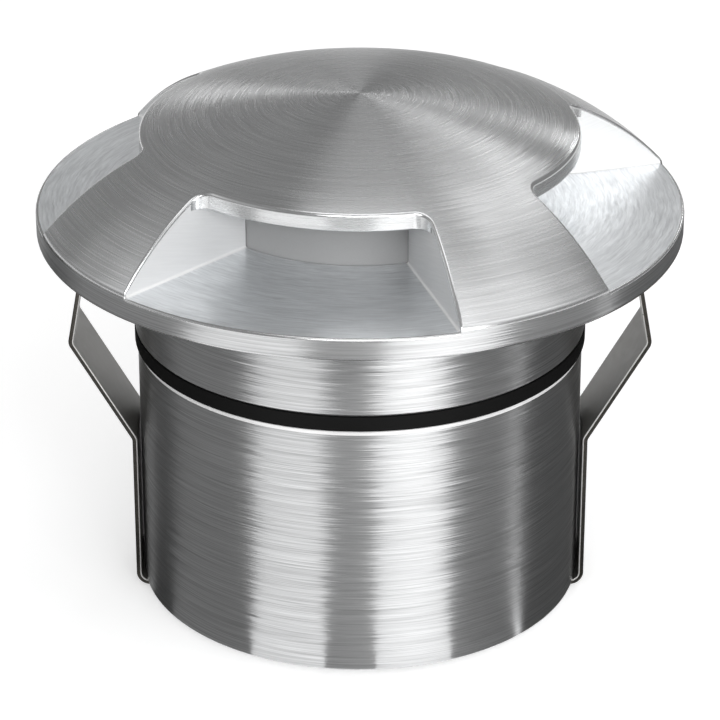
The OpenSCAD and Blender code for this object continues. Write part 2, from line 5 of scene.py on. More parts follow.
import bmesh
import bpy
import numpy as np
from bpy.props import FloatProperty, FloatVectorProperty, IntProperty, PointerProperty
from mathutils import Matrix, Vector


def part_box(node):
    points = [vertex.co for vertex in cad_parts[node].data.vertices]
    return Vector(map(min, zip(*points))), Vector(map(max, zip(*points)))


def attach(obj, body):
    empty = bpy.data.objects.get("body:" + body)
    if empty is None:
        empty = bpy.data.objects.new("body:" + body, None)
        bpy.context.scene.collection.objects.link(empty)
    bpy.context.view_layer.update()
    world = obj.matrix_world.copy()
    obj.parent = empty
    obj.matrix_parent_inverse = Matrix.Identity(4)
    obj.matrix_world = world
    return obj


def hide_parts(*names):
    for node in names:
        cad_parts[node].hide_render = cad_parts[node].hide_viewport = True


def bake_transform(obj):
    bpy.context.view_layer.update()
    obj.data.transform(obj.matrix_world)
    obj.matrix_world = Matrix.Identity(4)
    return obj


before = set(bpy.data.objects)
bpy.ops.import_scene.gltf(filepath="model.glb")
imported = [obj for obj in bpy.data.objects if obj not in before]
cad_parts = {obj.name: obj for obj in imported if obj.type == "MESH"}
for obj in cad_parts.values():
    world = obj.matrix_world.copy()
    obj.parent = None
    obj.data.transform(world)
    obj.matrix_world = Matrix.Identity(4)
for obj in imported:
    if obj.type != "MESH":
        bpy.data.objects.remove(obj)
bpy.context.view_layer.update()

bl_info = {
    "name": "Recessed Ground Light",
    "version": (1, 0, 0),
    "blender": (4, 5, 0),
    "location": "3D View > Sidebar > Ground Light",
    "description": "Dresses the packed recessed ground light and sets up its studio",
    "category": "Object",
}

MM = 0.001
COVER_LOW, COVER_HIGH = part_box("cover")
TUBE_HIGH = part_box("housing_tube")[1]
FOOT_LOW, FOOT_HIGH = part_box("clip_foot_right")
ARM_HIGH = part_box("clip_arm_right")[1]

# Points nearer than MERGE are one, and no vector is divided by less than TINY
MERGE = 1e-6
TINY = 1e-9


# Settings


class CoverSizes(bpy.types.PropertyGroup):
    flange_radius: FloatProperty(
        name="Flange radius", description="Outer radius of the flange",
        default=COVER_HIGH.x, unit="LENGTH")
    apex: FloatProperty(
        name="Top", description="Height of the dome's top",
        default=COVER_HIGH.z, unit="LENGTH")
    crown_radius: FloatProperty(
        name="Crown radius", description="Radius of the shallow crown of the dome",
        default=72 * MM, unit="LENGTH")
    join_share: FloatProperty(
        name="Crown share", description="Share of the flange's radius that the crown takes",
        default=0.56)
    rim_top: FloatProperty(
        name="Rim top", description="Height of the dome's outer edge",
        default=42.82 * MM, unit="LENGTH")
    floor_top: FloatProperty(
        name="Window floor", description="Height of the floors of the windows",
        default=42.55 * MM, unit="LENGTH")
    seat: FloatProperty(
        name="Flange seat", description="Height of the flange's underside",
        default=40.25 * MM, unit="LENGTH")
    window_count: IntProperty(
        name="Windows", description="Number of windows round the cover",
        default=4, min=2, max=4)
    window_half: FloatProperty(
        name="Window half angle", description="Angle from the middle of a window to its wall",
        default=math.radians(30), subtype="ANGLE")
    turn: FloatProperty(
        name="Turn", description="Angle of the cover when it is screwed home",
        default=math.radians(-13.3), subtype="ANGLE")
    overhang: FloatProperty(
        name="Overhang radius", description="Radius at which the dome ends above a window",
        default=22 * MM, unit="LENGTH")
    shell: FloatProperty(
        name="Shell", description="Thickness of the dome at the cut edge",
        default=1.65 * MM, unit="LENGTH")
    corner: FloatProperty(
        name="Corner radius", description="Radius of the cut edge's corners",
        default=1.5 * MM, unit="LENGTH")
    edge: FloatProperty(
        name="Edge rounding", description="Rounding along the openings",
        default=0.32 * MM, unit="LENGTH")
    rim_edge: FloatProperty(
        name="Rim rounding", description="Rounding along the flange's upper edge",
        default=0.28 * MM, unit="LENGTH")
    lower_edge: FloatProperty(
        name="Lower rounding", description="Rounding of the cut edge's lower side",
        default=0.14 * MM, unit="LENGTH")
    fillet: FloatProperty(
        name="Floor fillet", description="Fillet between a window's floor and wall",
        default=0.22 * MM, unit="LENGTH")
    chamber: FloatProperty(
        name="Chamber radius", description="Radius of the chamber round the diffuser",
        default=16.22 * MM, unit="LENGTH")
    roof_land: FloatProperty(
        name="Roof land", description="Rise from the windows' roofs to the chamber's roof",
        default=1.4 * MM, unit="LENGTH")
    shoulder: FloatProperty(
        name="Inner shoulder", description="Height of the shoulder that the diffuser seats on",
        default=40.45 * MM, unit="LENGTH")
    skirt_radius: FloatProperty(
        name="Skirt radius", description="Radius of the skirt below the flange",
        default=22.95 * MM, unit="LENGTH")
    skirt_foot: FloatProperty(
        name="Skirt foot", description="Height of the skirt's lower edge",
        default=29.6 * MM, unit="LENGTH")
    spigot_radius: FloatProperty(
        name="Spigot radius", description="Radius of the threaded spigot",
        default=20.52 * MM, unit="LENGTH")
    spigot_foot: FloatProperty(
        name="Spigot foot", description="Height of the spigot's lower end",
        default=COVER_LOW.z, unit="LENGTH")
    bore: FloatProperty(
        name="Bore radius", description="Radius of the cover's bore",
        default=18.92 * MM, unit="LENGTH")
    edge_break: FloatProperty(
        name="Edge break", description="Width of the bevels on turned edges",
        default=0.25 * MM, unit="LENGTH")
    screw_hole: FloatProperty(
        name="Screw hole", description="Radius of the hole for the cone's screw",
        default=1.25 * MM, unit="LENGTH")
    screw_depth: FloatProperty(
        name="Screw depth", description="Depth of the hole for the cone's screw",
        default=2.2 * MM, unit="LENGTH")


class StripSizes(bpy.types.PropertyGroup):
    width: FloatProperty(
        name="Width", description="Width of the spring strip",
        default=FOOT_HIGH.y - FOOT_LOW.y, unit="LENGTH")
    thickness: FloatProperty(
        name="Thickness", description="Thickness of the spring strip",
        default=0.5 * MM, unit="LENGTH")
    upright: FloatProperty(
        name="Upright", description="Distance of the upright's middle from the axis",
        default=23.1 * MM, unit="LENGTH")
    foot_start: FloatProperty(
        name="Foot end", description="Distance of the foot's end from the axis",
        default=FOOT_LOW.x, unit="LENGTH")
    elbow_height: FloatProperty(
        name="Elbow", description="Height of the bend beside the tube",
        default=17.6 * MM, unit="LENGTH")
    reach_height: FloatProperty(
        name="Outer bend", description="Height of the outermost bend",
        default=28.5 * MM, unit="LENGTH")
    lean: FloatProperty(
        name="Tip lean", description="Lean of the tip towards the axis",
        default=math.radians(10.2), subtype="ANGLE")
    foot_bend: FloatProperty(
        name="Foot bend", description="Radius of the bend under the tube",
        default=1.15 * MM, unit="LENGTH")
    arm_bend: FloatProperty(
        name="Arm bend", description="Radius of the elbow and the outer bend",
        default=1 * MM, unit="LENGTH")
    edge: FloatProperty(
        name="Edge rounding", description="Rounding of the strip's edges",
        default=0.11 * MM, unit="LENGTH")


class Finishes(bpy.types.PropertyGroup):
    steel: FloatVectorProperty(
        name="Steel", description="Colour of the brushed steel",
        default=(0.62, 0.625, 0.63), subtype="COLOR")
    milled: FloatVectorProperty(
        name="Milled steel", description="Colour of the milled windows",
        default=(0.8, 0.82, 0.84), subtype="COLOR")
    lip: FloatVectorProperty(
        name="Cut edge", description="Colour of the cut edges above the windows",
        default=(0.72, 0.725, 0.73), subtype="COLOR")
    # Painted highlight: near-white, half-diffuse fillets show as light lines where the windows' floors meet
    # their walls
    fillet: FloatVectorProperty(
        name="Fillets", description="Colour of the bright fillets in the windows",
        default=(0.86, 0.86, 0.86), subtype="COLOR")
    wall: FloatVectorProperty(
        name="Window walls", description="Colour of the windows' side walls",
        default=(0.82, 0.825, 0.83), subtype="COLOR")
    # Half height of the painted highlight band at the tube's upper corner
    corner: FloatProperty(
        name="Tube corner", description="Height of the bright band at the tube's upper corner",
        default=0.6 * MM, unit="LENGTH")
    strip: FloatVectorProperty(
        name="Strip", description="Colour of the spring strip",
        default=(0.24, 0.235, 0.224), subtype="COLOR")
    sheared: FloatVectorProperty(
        name="Sheared edge", description="Colour of the strip's sheared edges",
        default=(0.13, 0.122, 0.11), subtype="COLOR")
    # Painted highlight: this near-white colour on the strip's outward rounded corners stands in for the light
    # they catch
    bright: FloatVectorProperty(
        name="Bright edge", description="Colour of the strip's tumbled corners",
        default=(0.8, 0.79, 0.77), subtype="COLOR")
    diffuser: FloatVectorProperty(
        name="Diffuser", description="Colour of the frosted ring",
        default=(0.34, 0.341, 0.343), subtype="COLOR")
    rubber: FloatVectorProperty(
        name="Rubber", description="Colour of the gasket and the seals",
        default=(0.005, 0.005, 0.005), subtype="COLOR")


class Studio(bpy.types.PropertyGroup):
    lens: FloatProperty(name="Lens", description="Focal length in millimetres", default=169.58)
    distance: FloatProperty(
        name="Distance", description="Horizontal distance of the camera",
        default=313.01 * MM, unit="LENGTH")
    height: FloatProperty(
        name="Height", description="Height of the camera",
        default=178.5 * MM, unit="LENGTH")
    pitch: FloatProperty(
        name="Pitch", description="Angle at which the camera looks down",
        default=math.radians(26.2), subtype="ANGLE")
    ambient: FloatProperty(name="Ambient", description="Brightness of the surroundings", default=0.3)
    floor: FloatProperty(name="Floor", description="Brightness of the floor's own white", default=0.43)
    card: FloatProperty(name="Cards", description="Brightness of the dark cards round the tube", default=1.0)


class GroundLight(bpy.types.PropertyGroup):
    cover: PointerProperty(type=CoverSizes)
    strip: PointerProperty(type=StripSizes)
    finish: PointerProperty(type=Finishes)
    studio: PointerProperty(type=Studio)


def settings():
    return bpy.context.scene.ground_light


# Meshes made of patches


# Columns of a patch's entries: radius, angle, height, and the outward, around and up parts of the normal
COLUMNS = {"r": 0, "a": 1, "z": 2, "facing": slice(3, 6)}
MIRROR = np.array([1, -1, 1, 1, -1, 1])


def place(grid):
    """Points in space of a patch."""
    r, a, z = grid[..., 0], grid[..., 1], grid[..., 2]
    return np.stack([r * np.sin(a), -r * np.cos(a), z], -1)


def aim(angle, parts):
    """Directions in space of normals at an angle, given as outward, around and up parts."""
    s, c = np.sin(angle), np.cos(angle)
    out, around, up = parts[..., 0], parts[..., 1], parts[..., 2]
    return np.stack([out * s + around * c, -out * c + around * s, up], -1)


def rows_of(*columns):
    """Entries of a patch from its six columns, each one value for all entries or a list of them."""
    return np.stack(np.broadcast_arrays(*columns), -1)


def altered(rows, **changes):
    """A copy of entries with some of their columns replaced."""
    rows = rows.copy()
    for key, value in changes.items():
        rows[..., COLUMNS[key]] = value
    return rows


def straight_between(start, end, steps):
    """Rows of a plain face from start to end."""
    t = np.linspace(0, 1, steps + 1)[:, None, None]
    return start * (1 - t) + end * t


def curve_between(start, corner, end, steps):
    """Rows of a rounded edge from start to end round a sharp corner, each with a blended normal."""
    rows = []
    for k in range(steps + 1):
        t = k / steps
        where = (1 - t) ** 2 * start[..., :3] + 2 * t * (1 - t) * corner[..., :3] + t * t * end[..., :3]
        turn = t * math.pi / 2
        facing = math.cos(turn) * start[..., 3:] + math.sin(turn) * end[..., 3:]
        facing = facing / np.maximum(np.linalg.norm(facing, axis=-1, keepdims=True), TINY)
        rows.append(np.concatenate([where, facing], -1))
    return np.array(rows)


class Skin:
    """Faces gathered one by one, each corner with its own normal and each face with a zone."""

    def __init__(self):
        self.points, self.faces, self.normals, self.zones = [], [], [], []

    def face(self, places, normals, kept, zone):
        """Adds a face, turned to look the way its corner normals do, and stores those as kept gives them."""
        across = np.cross(places[2] - places[0], places[-1] - places[1])
        if np.dot(across, np.sum(normals, 0)) < 0:
            places, kept = places[::-1], kept[::-1]
        start = len(self.points)
        self.points.extend(places)
        self.faces.append(tuple(range(start, start + len(places))))
        self.normals.extend(kept)
        self.zones.append(zone)

    def plain_face(self, corners, zone):
        """A face whose corners are rows of a place and a normal in space."""
        normals = [corner[3:] for corner in corners]
        self.face([corner[:3] for corner in corners], normals, normals, zone)

    def patch(self, grid, zone):
        """The faces between the entries of a grid."""
        places, normals = place(grid), aim(grid[..., 1], grid[..., 3:])
        for i in range(grid.shape[0] - 1):
            for j in range(grid.shape[1] - 1):
                ring = [(i, j), (i, j + 1), (i + 1, j + 1), (i + 1, j)]
                self.face([places[k] for k in ring], [normals[k] for k in ring],
                          [grid[k][3:] for k in ring], zone)

    def mirrored(self, grid, zone):
        """The patch and its mirror image on the other side of angle zero."""
        grid = np.asarray(grid, float)
        self.patch(grid, zone)
        self.patch(grid * MIRROR, zone)

    def lace(self, ring_a, ring_b, zone):
        """Triangles between two rows whose angles don't match."""
        i = j = 0
        while i < len(ring_a) - 1 or j < len(ring_b) - 1:
            step_a = j == len(ring_b) - 1 or (
                i < len(ring_a) - 1 and ring_a[i + 1][1] <= ring_b[j + 1][1])
            third = ring_a[i + 1] if step_a else ring_b[j + 1]
            tri = np.array([ring_a[i], ring_b[j], third], float)
            normals = aim(tri[:, 1], tri[:, 3:])
            self.face(list(place(tri)), list(normals), list(tri[:, 3:]), zone)
            i, j = (i + 1, j) if step_a else (i, j + 1)

    def mesh(self, name):
        """A merged mesh with the attributes fine_normal, on corners, and zone, on faces."""
        mesh = bpy.data.meshes.new(name)
        mesh.from_pydata([tuple(p) for p in self.points], [], self.faces)
        fine = mesh.attributes.new("fine_normal", "FLOAT_VECTOR", "CORNER")
        fine.data.foreach_set("vector", np.asarray(self.normals, np.float32).ravel())
        zone = mesh.attributes.new("zone", "INT", "FACE")
        zone.data.foreach_set("value", np.asarray(self.zones, np.int32))
        bm = bmesh.new()
        bm.from_mesh(mesh)
        bmesh.ops.remove_doubles(bm, verts=bm.verts, dist=MERGE)
        bmesh.ops.dissolve_degenerate(bm, edges=bm.edges, dist=MERGE / 10)
        bm.to_mesh(mesh)
        bm.free()
        return mesh


def read_all(members, key, kind, width=1):
    """One field of every member of a collection, as rows of a width."""
    flat = np.zeros(len(members) * width, kind)
    members.foreach_get(key, flat)
    return flat.reshape(-1, width)


def kept_normals(mesh):
    """The fine_normal attribute of a mesh, a row for each corner."""
    return read_all(mesh.attributes["fine_normal"].data, "vector", np.float32, 3)


def turned_normals(mesh):
    """Corner normals in space, from the outward, around and up parts that a mesh keeps."""
    of_corner = read_all(mesh.loops, "vertex_index", np.int32).ravel()
    at = read_all(mesh.vertices, "co", np.float32, 3)[of_corner]
    return aim(np.arctan2(at[:, 0], -at[:, 1]), kept_normals(mesh))


def shade_finely(mesh, normals):
    """Gives a mesh its own corner normals, and clears the attributes that carried them."""
    length = np.maximum(np.linalg.norm(normals, axis=1, keepdims=True), TINY)
    mesh.shade_smooth()
    mesh.normals_split_custom_set([tuple(n) for n in normals / length])
    for name in ("fine_normal", "zone"):
        mesh.attributes.remove(mesh.attributes[name])


def add_object(name, data):
    """Links a new object for a mesh, a lamp or a camera."""
    made = bpy.data.objects.new(name, data)
    bpy.context.scene.collection.objects.link(made)
    return made


def dress(node, material):
    """Gives a CAD node that keeps its solid one finish."""
    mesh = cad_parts[node].data
    mesh.materials.clear()
    mesh.materials.append(material)


# Node trees


def add_node(tree, kind, values=None, **options):
    """A node with its options set, and its inputs given as numbers or as sockets to link."""
    node = tree.nodes.new(kind)
    for key, value in options.items():
        setattr(node, key, value)
    for key, value in (values or {}).items():
        if isinstance(value, bpy.types.NodeSocket):
            tree.links.new(value, node.inputs[key])
        else:
            node.inputs[key].default_value = value
    return node


def new_tree(name, inputs):
    """An empty geometry tree with a geometry input and the named inputs that follow it."""
    tree = bpy.data.node_groups.new(name, "GeometryNodeTree")
    tree.interface.new_socket(name="Geometry", in_out="INPUT", socket_type="NodeSocketGeometry")
    for label, kind in inputs:
        tree.interface.new_socket(name=label, in_out="INPUT", socket_type=kind)
    tree.interface.new_socket(name="Geometry", in_out="OUTPUT", socket_type="NodeSocketGeometry")
    return tree, add_node(tree, "NodeGroupInput"), add_node(tree, "NodeGroupOutput")


def math_node(tree, operation, *values):
    return add_node(tree, "ShaderNodeMath", dict(enumerate(values)), operation=operation).outputs[0]


def vector_node(tree, operation, *values, **named):
    """First output of a vector operation, whose inputs come in their order or by name."""
    inputs = dict(enumerate(values)) | named
    return add_node(tree, "ShaderNodeVectorMath", inputs, operation=operation).outputs[0]


def combine(tree, **parts):
    """A vector made of the parts given as X, Y and Z."""
    return add_node(tree, "ShaderNodeCombineXYZ", parts).outputs[0]


def ring_tree(zones):
    """Repeats a mesh round the axis, then gives each numbered zone of its faces a material."""
    inputs = [("Count", "NodeSocketInt"), ("Start", "NodeSocketFloat")]
    inputs += [(f"Material {k}", "NodeSocketMaterial") for k in range(zones)]
    tree, given, result = new_tree("Round the axis", inputs)
    index = add_node(tree, "GeometryNodeInputIndex").outputs[0]
    share = math_node(tree, "DIVIDE", index, given.outputs["Count"])
    angle = math_node(tree, "MULTIPLY_ADD", share, math.tau, given.outputs["Start"])
    points = add_node(tree, "GeometryNodePoints", {"Count": given.outputs["Count"]})
    copies = add_node(tree, "GeometryNodeInstanceOnPoints", {
        "Points": points.outputs[0], "Instance": given.outputs["Geometry"],
        "Rotation": combine(tree, Z=angle)})
    real = add_node(tree, "GeometryNodeRealizeInstances", {"Geometry": copies.outputs[0]})
    merged = add_node(tree, "GeometryNodeMergeByDistance", {"Geometry": real.outputs[0], "Distance": MERGE})
    last = merged.outputs[0]
    zone = add_node(tree, "GeometryNodeInputNamedAttribute", {"Name": "zone"}, data_type="INT")
    for k in range(zones):
        chosen = add_node(tree, "FunctionNodeCompare", {2: zone.outputs[0], 3: k}, data_type="INT",
                          operation="EQUAL")
        finish = add_node(tree, "GeometryNodeSetMaterial", {
            "Geometry": last, "Selection": chosen.outputs[0], "Material": given.outputs[f"Material {k}"]})
        last = finish.outputs[0]
    tree.links.new(last, result.inputs[0])
    return tree


def run_tree(name, mesh, tree, values):
    """Evaluates a tree on a mesh and returns the plain mesh that comes out."""
    source = add_object(name, mesh)
    modifier = source.modifiers.new(tree.name, "NODES")
    modifier.node_group = tree
    for item in tree.interface.items_tree:
        if item.in_out == "INPUT" and item.name in values:
            modifier[item.identifier] = values[item.name]
    source.update_tag()
    bpy.context.view_layer.update()
    graph = bpy.context.evaluated_depsgraph_get()
    made = bpy.data.meshes.new_from_object(
        source.evaluated_get(graph), preserve_all_data_layers=True, depsgraph=graph)
    source.modifiers.remove(modifier)
    bpy.data.objects.remove(source)
    made.name = name
    return made


# Materials


# Share of the fine streaks in brushed steel, the depth of its streaks, and how much they vary its roughness
FINE_SHARE = 0.65
BRUSH_DEPTH = 0.0015 * MM
BRUSH_SWING = 0.12

# Scale along and across, detail and seed of the fine and coarse streaks and of those that lean the surface
FINE = (1.0, 1.0, 3.0, 0.0)
COARSE = (0.6, 0.4, 2.0, 37.0)
LEANING = (1.2, 0.8, 3.0, 91.0)
STREAK_ROUGH = 0.6

# The mean of any noise, and the bounds between which most of it lies
NOISE_MEAN = 0.5
NOISE_BOUNDS = (0.3, 0.7)

# Noise that makes streaks wander, in counts per metre
WANDER_SCALE, WANDER_DETAIL = 700.0, 2.0

# Scratches of a milled wall, in counts per metre along and across them, and how much they vary its roughness
SCRATCH_ALONG, SCRATCH_ACROSS = 260.0, 5200.0
SCRATCH_SWING = 0.15
SCRATCH_BOUNDS = (0.35, 0.65)

# Colour and metal share of the painted highlight on a turned corner, which stands in for a corner that
# catches every light
CORNER_HIGHLIGHT_GREY = (0.95, 0.95, 0.95, 1)
CORNER_HIGHLIGHT_METAL = 0.25

# The same for the mottle of a moulded surface, which is rougher where it is lighter
MOTTLE_SWING = -0.1


def new_material(name):
    material = bpy.data.materials.new(name)
    material.use_nodes = True
    tree = material.node_tree
    return material, tree, tree.nodes["Principled BSDF"]


def remap(tree, value, low, high, to_low, to_high):
    return add_node(tree, "ShaderNodeMapRange", {0: value, 1: low, 2: high, 3: to_low, 4: to_high}).outputs[0]


def noise(tree, where, scale=1.0, detail=3.0, rough=0.5):
    inputs = {"Vector": where, "Scale": scale, "Detail": detail, "Roughness": rough}
    return add_node(tree, "ShaderNodeTexNoise", inputs).outputs[0]


def turned_place(tree):
    """Sockets for the object position, its part across the axis, its radius and its height."""
    at = add_node(tree, "ShaderNodeTexCoord").outputs["Object"]
    parts = add_node(tree, "ShaderNodeSeparateXYZ", {0: at})
    flat = combine(tree, X=parts.outputs[0], Y=parts.outputs[1])
    radius = add_node(tree, "ShaderNodeVectorMath", {0: flat}, operation="LENGTH").outputs["Value"]
    return at, flat, radius, parts.outputs[2]


def turned_ways(tree, flat):
    """Sockets for the unit directions outwards and round the axis."""
    outward = vector_node(tree, "NORMALIZE", flat)
    parts = add_node(tree, "ShaderNodeSeparateXYZ", {0: outward})
    back = math_node(tree, "MULTIPLY", parts.outputs[1], -1.0)
    return outward, combine(tree, X=back, Y=parts.outputs[0])


def streaks(tree, outward, depth, along, across, kind):
    """Noise of one kind drawn out round the axis: along counts per radian, across counts per metre."""
    along_scale, across_scale, detail, seed = kind
    wide = vector_node(tree, "SCALE", outward, Scale=along * along_scale)
    lift = combine(tree, Z=math_node(tree, "MULTIPLY_ADD", depth, across * across_scale, seed))
    return noise(tree, vector_node(tree, "ADD", wide, lift), detail=detail, rough=STREAK_ROUGH)


def vary(tree, shader, grain, colour, contrast, rough, swing, bounds=NOISE_BOUNDS):
    """Colour and roughness that follow a grain between its bounds."""
    mix = add_node(tree, "ShaderNodeMix", {0: remap(tree, grain, *bounds, 0.0, 1.0)}, data_type="RGBA")
    mix.inputs[6].default_value = (*[c * (1 - contrast) for c in colour], 1)
    mix.inputs[7].default_value = (*[min(1.0, c * (1 + contrast)) for c in colour], 1)
    tree.links.new(mix.outputs[2], shader.inputs["Base Color"])
    roughness = remap(tree, grain, *bounds, rough * (1 + swing), rough * (1 - swing))
    tree.links.new(roughness, shader.inputs["Roughness"])


def emboss(tree, shader, grain, depth, **normal):
    """A bump of a depth that follows a grain, on the normal given or else on the surface's own."""
    inputs = {"Height": grain, "Distance": depth, "Strength": 1.0} | normal
    tree.links.new(add_node(tree, "ShaderNodeBump", inputs).outputs[0], shader.inputs["Normal"])


def painted_corner_highlight(tree, shader, height, start, end):
    """Paints a highlight between two heights, turning the steel bright and satin."""
    above = math_node(tree, "GREATER_THAN", height, start)
    below = math_node(tree, "LESS_THAN", height, end)
    share = math_node(tree, "MULTIPLY", above, below)
    mix = add_node(tree, "ShaderNodeMix", {0: share}, data_type="RGBA")
    tree.links.new(shader.inputs["Base Color"].links[0].from_socket, mix.inputs[6])
    mix.inputs[7].default_value = CORNER_HIGHLIGHT_GREY
    tree.links.new(mix.outputs[2], shader.inputs["Base Color"])
    metal = math_node(tree, "MULTIPLY_ADD", share, CORNER_HIGHLIGHT_METAL - 1, 1.0)
    tree.links.new(metal, shader.inputs["Metallic"])


def spun_steel(name, colour, rough=0.3, stretch=0.8, along=2.4, across=8500.0, tilt=0.15, contrast=0.1,
               metallic=1.0, wave=0.0, corner=None):
    """Steel brushed round the axis, for faces of any slope. Its lines have along counts per radian and
    across counts per metre, wander by wave and lean the surface by tilt. Between the heights that corner
    gives it carries a painted highlight, near white and less metallic."""
    material, tree, shader = new_material(name)
    at, flat, radius, height = turned_place(tree)
    outward, around = turned_ways(tree, flat)
    depth = math_node(tree, "SUBTRACT", radius, height)
    if wave:
        wander = noise(tree, at, WANDER_SCALE, WANDER_DETAIL)
        depth = math_node(tree, "ADD", depth, math_node(tree, "MULTIPLY", wander, wave))
    fine, coarse, lean = (streaks(tree, outward, depth, along, across, kind)
                          for kind in (FINE, COARSE, LEANING))
    grain = math_node(tree, "ADD", math_node(tree, "MULTIPLY", fine, FINE_SHARE),
                      math_node(tree, "MULTIPLY", coarse, 1 - FINE_SHARE))
    vary(tree, shader, grain, colour, contrast, rough, BRUSH_SWING)
    shader.inputs["Metallic"].default_value = metallic
    shader.inputs["Anisotropic"].default_value = stretch
    way = add_node(tree, "ShaderNodeVectorTransform", {0: around}, vector_type="VECTOR",
                   convert_from="OBJECT", convert_to="WORLD").outputs[0]
    normal = add_node(tree, "ShaderNodeNewGeometry").outputs["Normal"]
    lean = math_node(tree, "MULTIPLY", math_node(tree, "SUBTRACT", lean, NOISE_MEAN), tilt)
    leant = vector_node(tree, "ADD", normal, vector_node(tree, "SCALE", way, Scale=lean))
    emboss(tree, shader, grain, BRUSH_DEPTH, Normal=vector_node(tree, "NORMALIZE", leant))
    tree.links.new(vector_node(tree, "CROSS_PRODUCT", normal, way), shader.inputs["Tangent"])
    # Painted highlight band between the heights that corner gives
    if corner:
        painted_corner_highlight(tree, shader, height, *corner)
    return material


def scratched_steel(name, colour, rough, metallic, slant, contrast, bump):
    """Milled steel with fine scratches that run up a wall at a slant, in radians from the level."""
    material, tree, shader = new_material(name)
    _, _, radius, height = turned_place(tree)
    c, s = math.cos(slant), math.sin(slant)
    along = math_node(tree, "ADD", math_node(tree, "MULTIPLY", radius, c),
                      math_node(tree, "MULTIPLY", height, s))
    over = math_node(tree, "SUBTRACT", math_node(tree, "MULTIPLY", height, c),
                     math_node(tree, "MULTIPLY", radius, s))
    grain = noise(tree, combine(tree, X=math_node(tree, "MULTIPLY", along, SCRATCH_ALONG),
                                Y=math_node(tree, "MULTIPLY", over, SCRATCH_ACROSS)))
    vary(tree, shader, grain, colour, contrast, rough, SCRATCH_SWING, SCRATCH_BOUNDS)
    shader.inputs["Metallic"].default_value = metallic
    emboss(tree, shader, grain, bump)
    return material


def plain_material(name, colour, rough, metallic=0.0, grain_scale=2500.0, contrast=0.05, bump=0.0,
                   specular=0.5):
    """A smooth or moulded surface with a faint mottle in its colour and roughness."""
    material, tree, shader = new_material(name)
    grain = noise(tree, add_node(tree, "ShaderNodeTexCoord").outputs["Object"], grain_scale)
    vary(tree, shader, grain, colour, contrast, rough, MOTTLE_SWING)
    shader.inputs["Metallic"].default_value = metallic
    shader.inputs["Specular IOR Level"].default_value = specular
    if bump:
        emboss(tree, shader, grain, bump)
    return material


# Cover


class Dome:
    """Height and slope of the dome at a radius: a shallow crown, then a shoulder that meets the rim."""

    def __init__(self, sizes):
        self.crown = sizes.crown_radius
        self.crown_low = sizes.apex - self.crown
        self.join = sizes.flange_radius * sizes.join_share
        join_z = self.crown_low + math.sqrt(self.crown ** 2 - self.join ** 2)
        lean = np.array([self.join, join_z - self.crown_low]) / self.crown
        to_rim = np.array([sizes.flange_radius - self.join, sizes.rim_top - join_z])
        self.shoulder = -float(to_rim @ to_rim) / (2 * float(to_rim @ lean))
        self.centre = np.array([self.join, join_z]) - self.shoulder * lean

    def at(self, r):
        """Height, then the outward and up parts of the normal."""
        if r < self.join:
            drop = math.sqrt(self.crown ** 2 - r * r)
            return self.crown_low + drop, r / self.crown, drop / self.crown
        out = r - self.centre[0]
        rise = math.sqrt(self.shoulder ** 2 - out * out)
        return self.centre[1] + rise, out / self.shoulder, rise / self.shoulder


# Zones of the cover's faces, one for each finish
ZONES = range(8)
ZONE_DOME, ZONE_EDGE, ZONE_FLOOR, ZONE_WALL, ZONE_LIP, ZONE_BAND, ZONE_SKIRT, ZONE_FILLET = ZONES

# Steps round an edge, and the most of a wall's height that the rounding at its top or foot takes
ROUND_STEPS = 4
ROUND_SHARE = 0.4


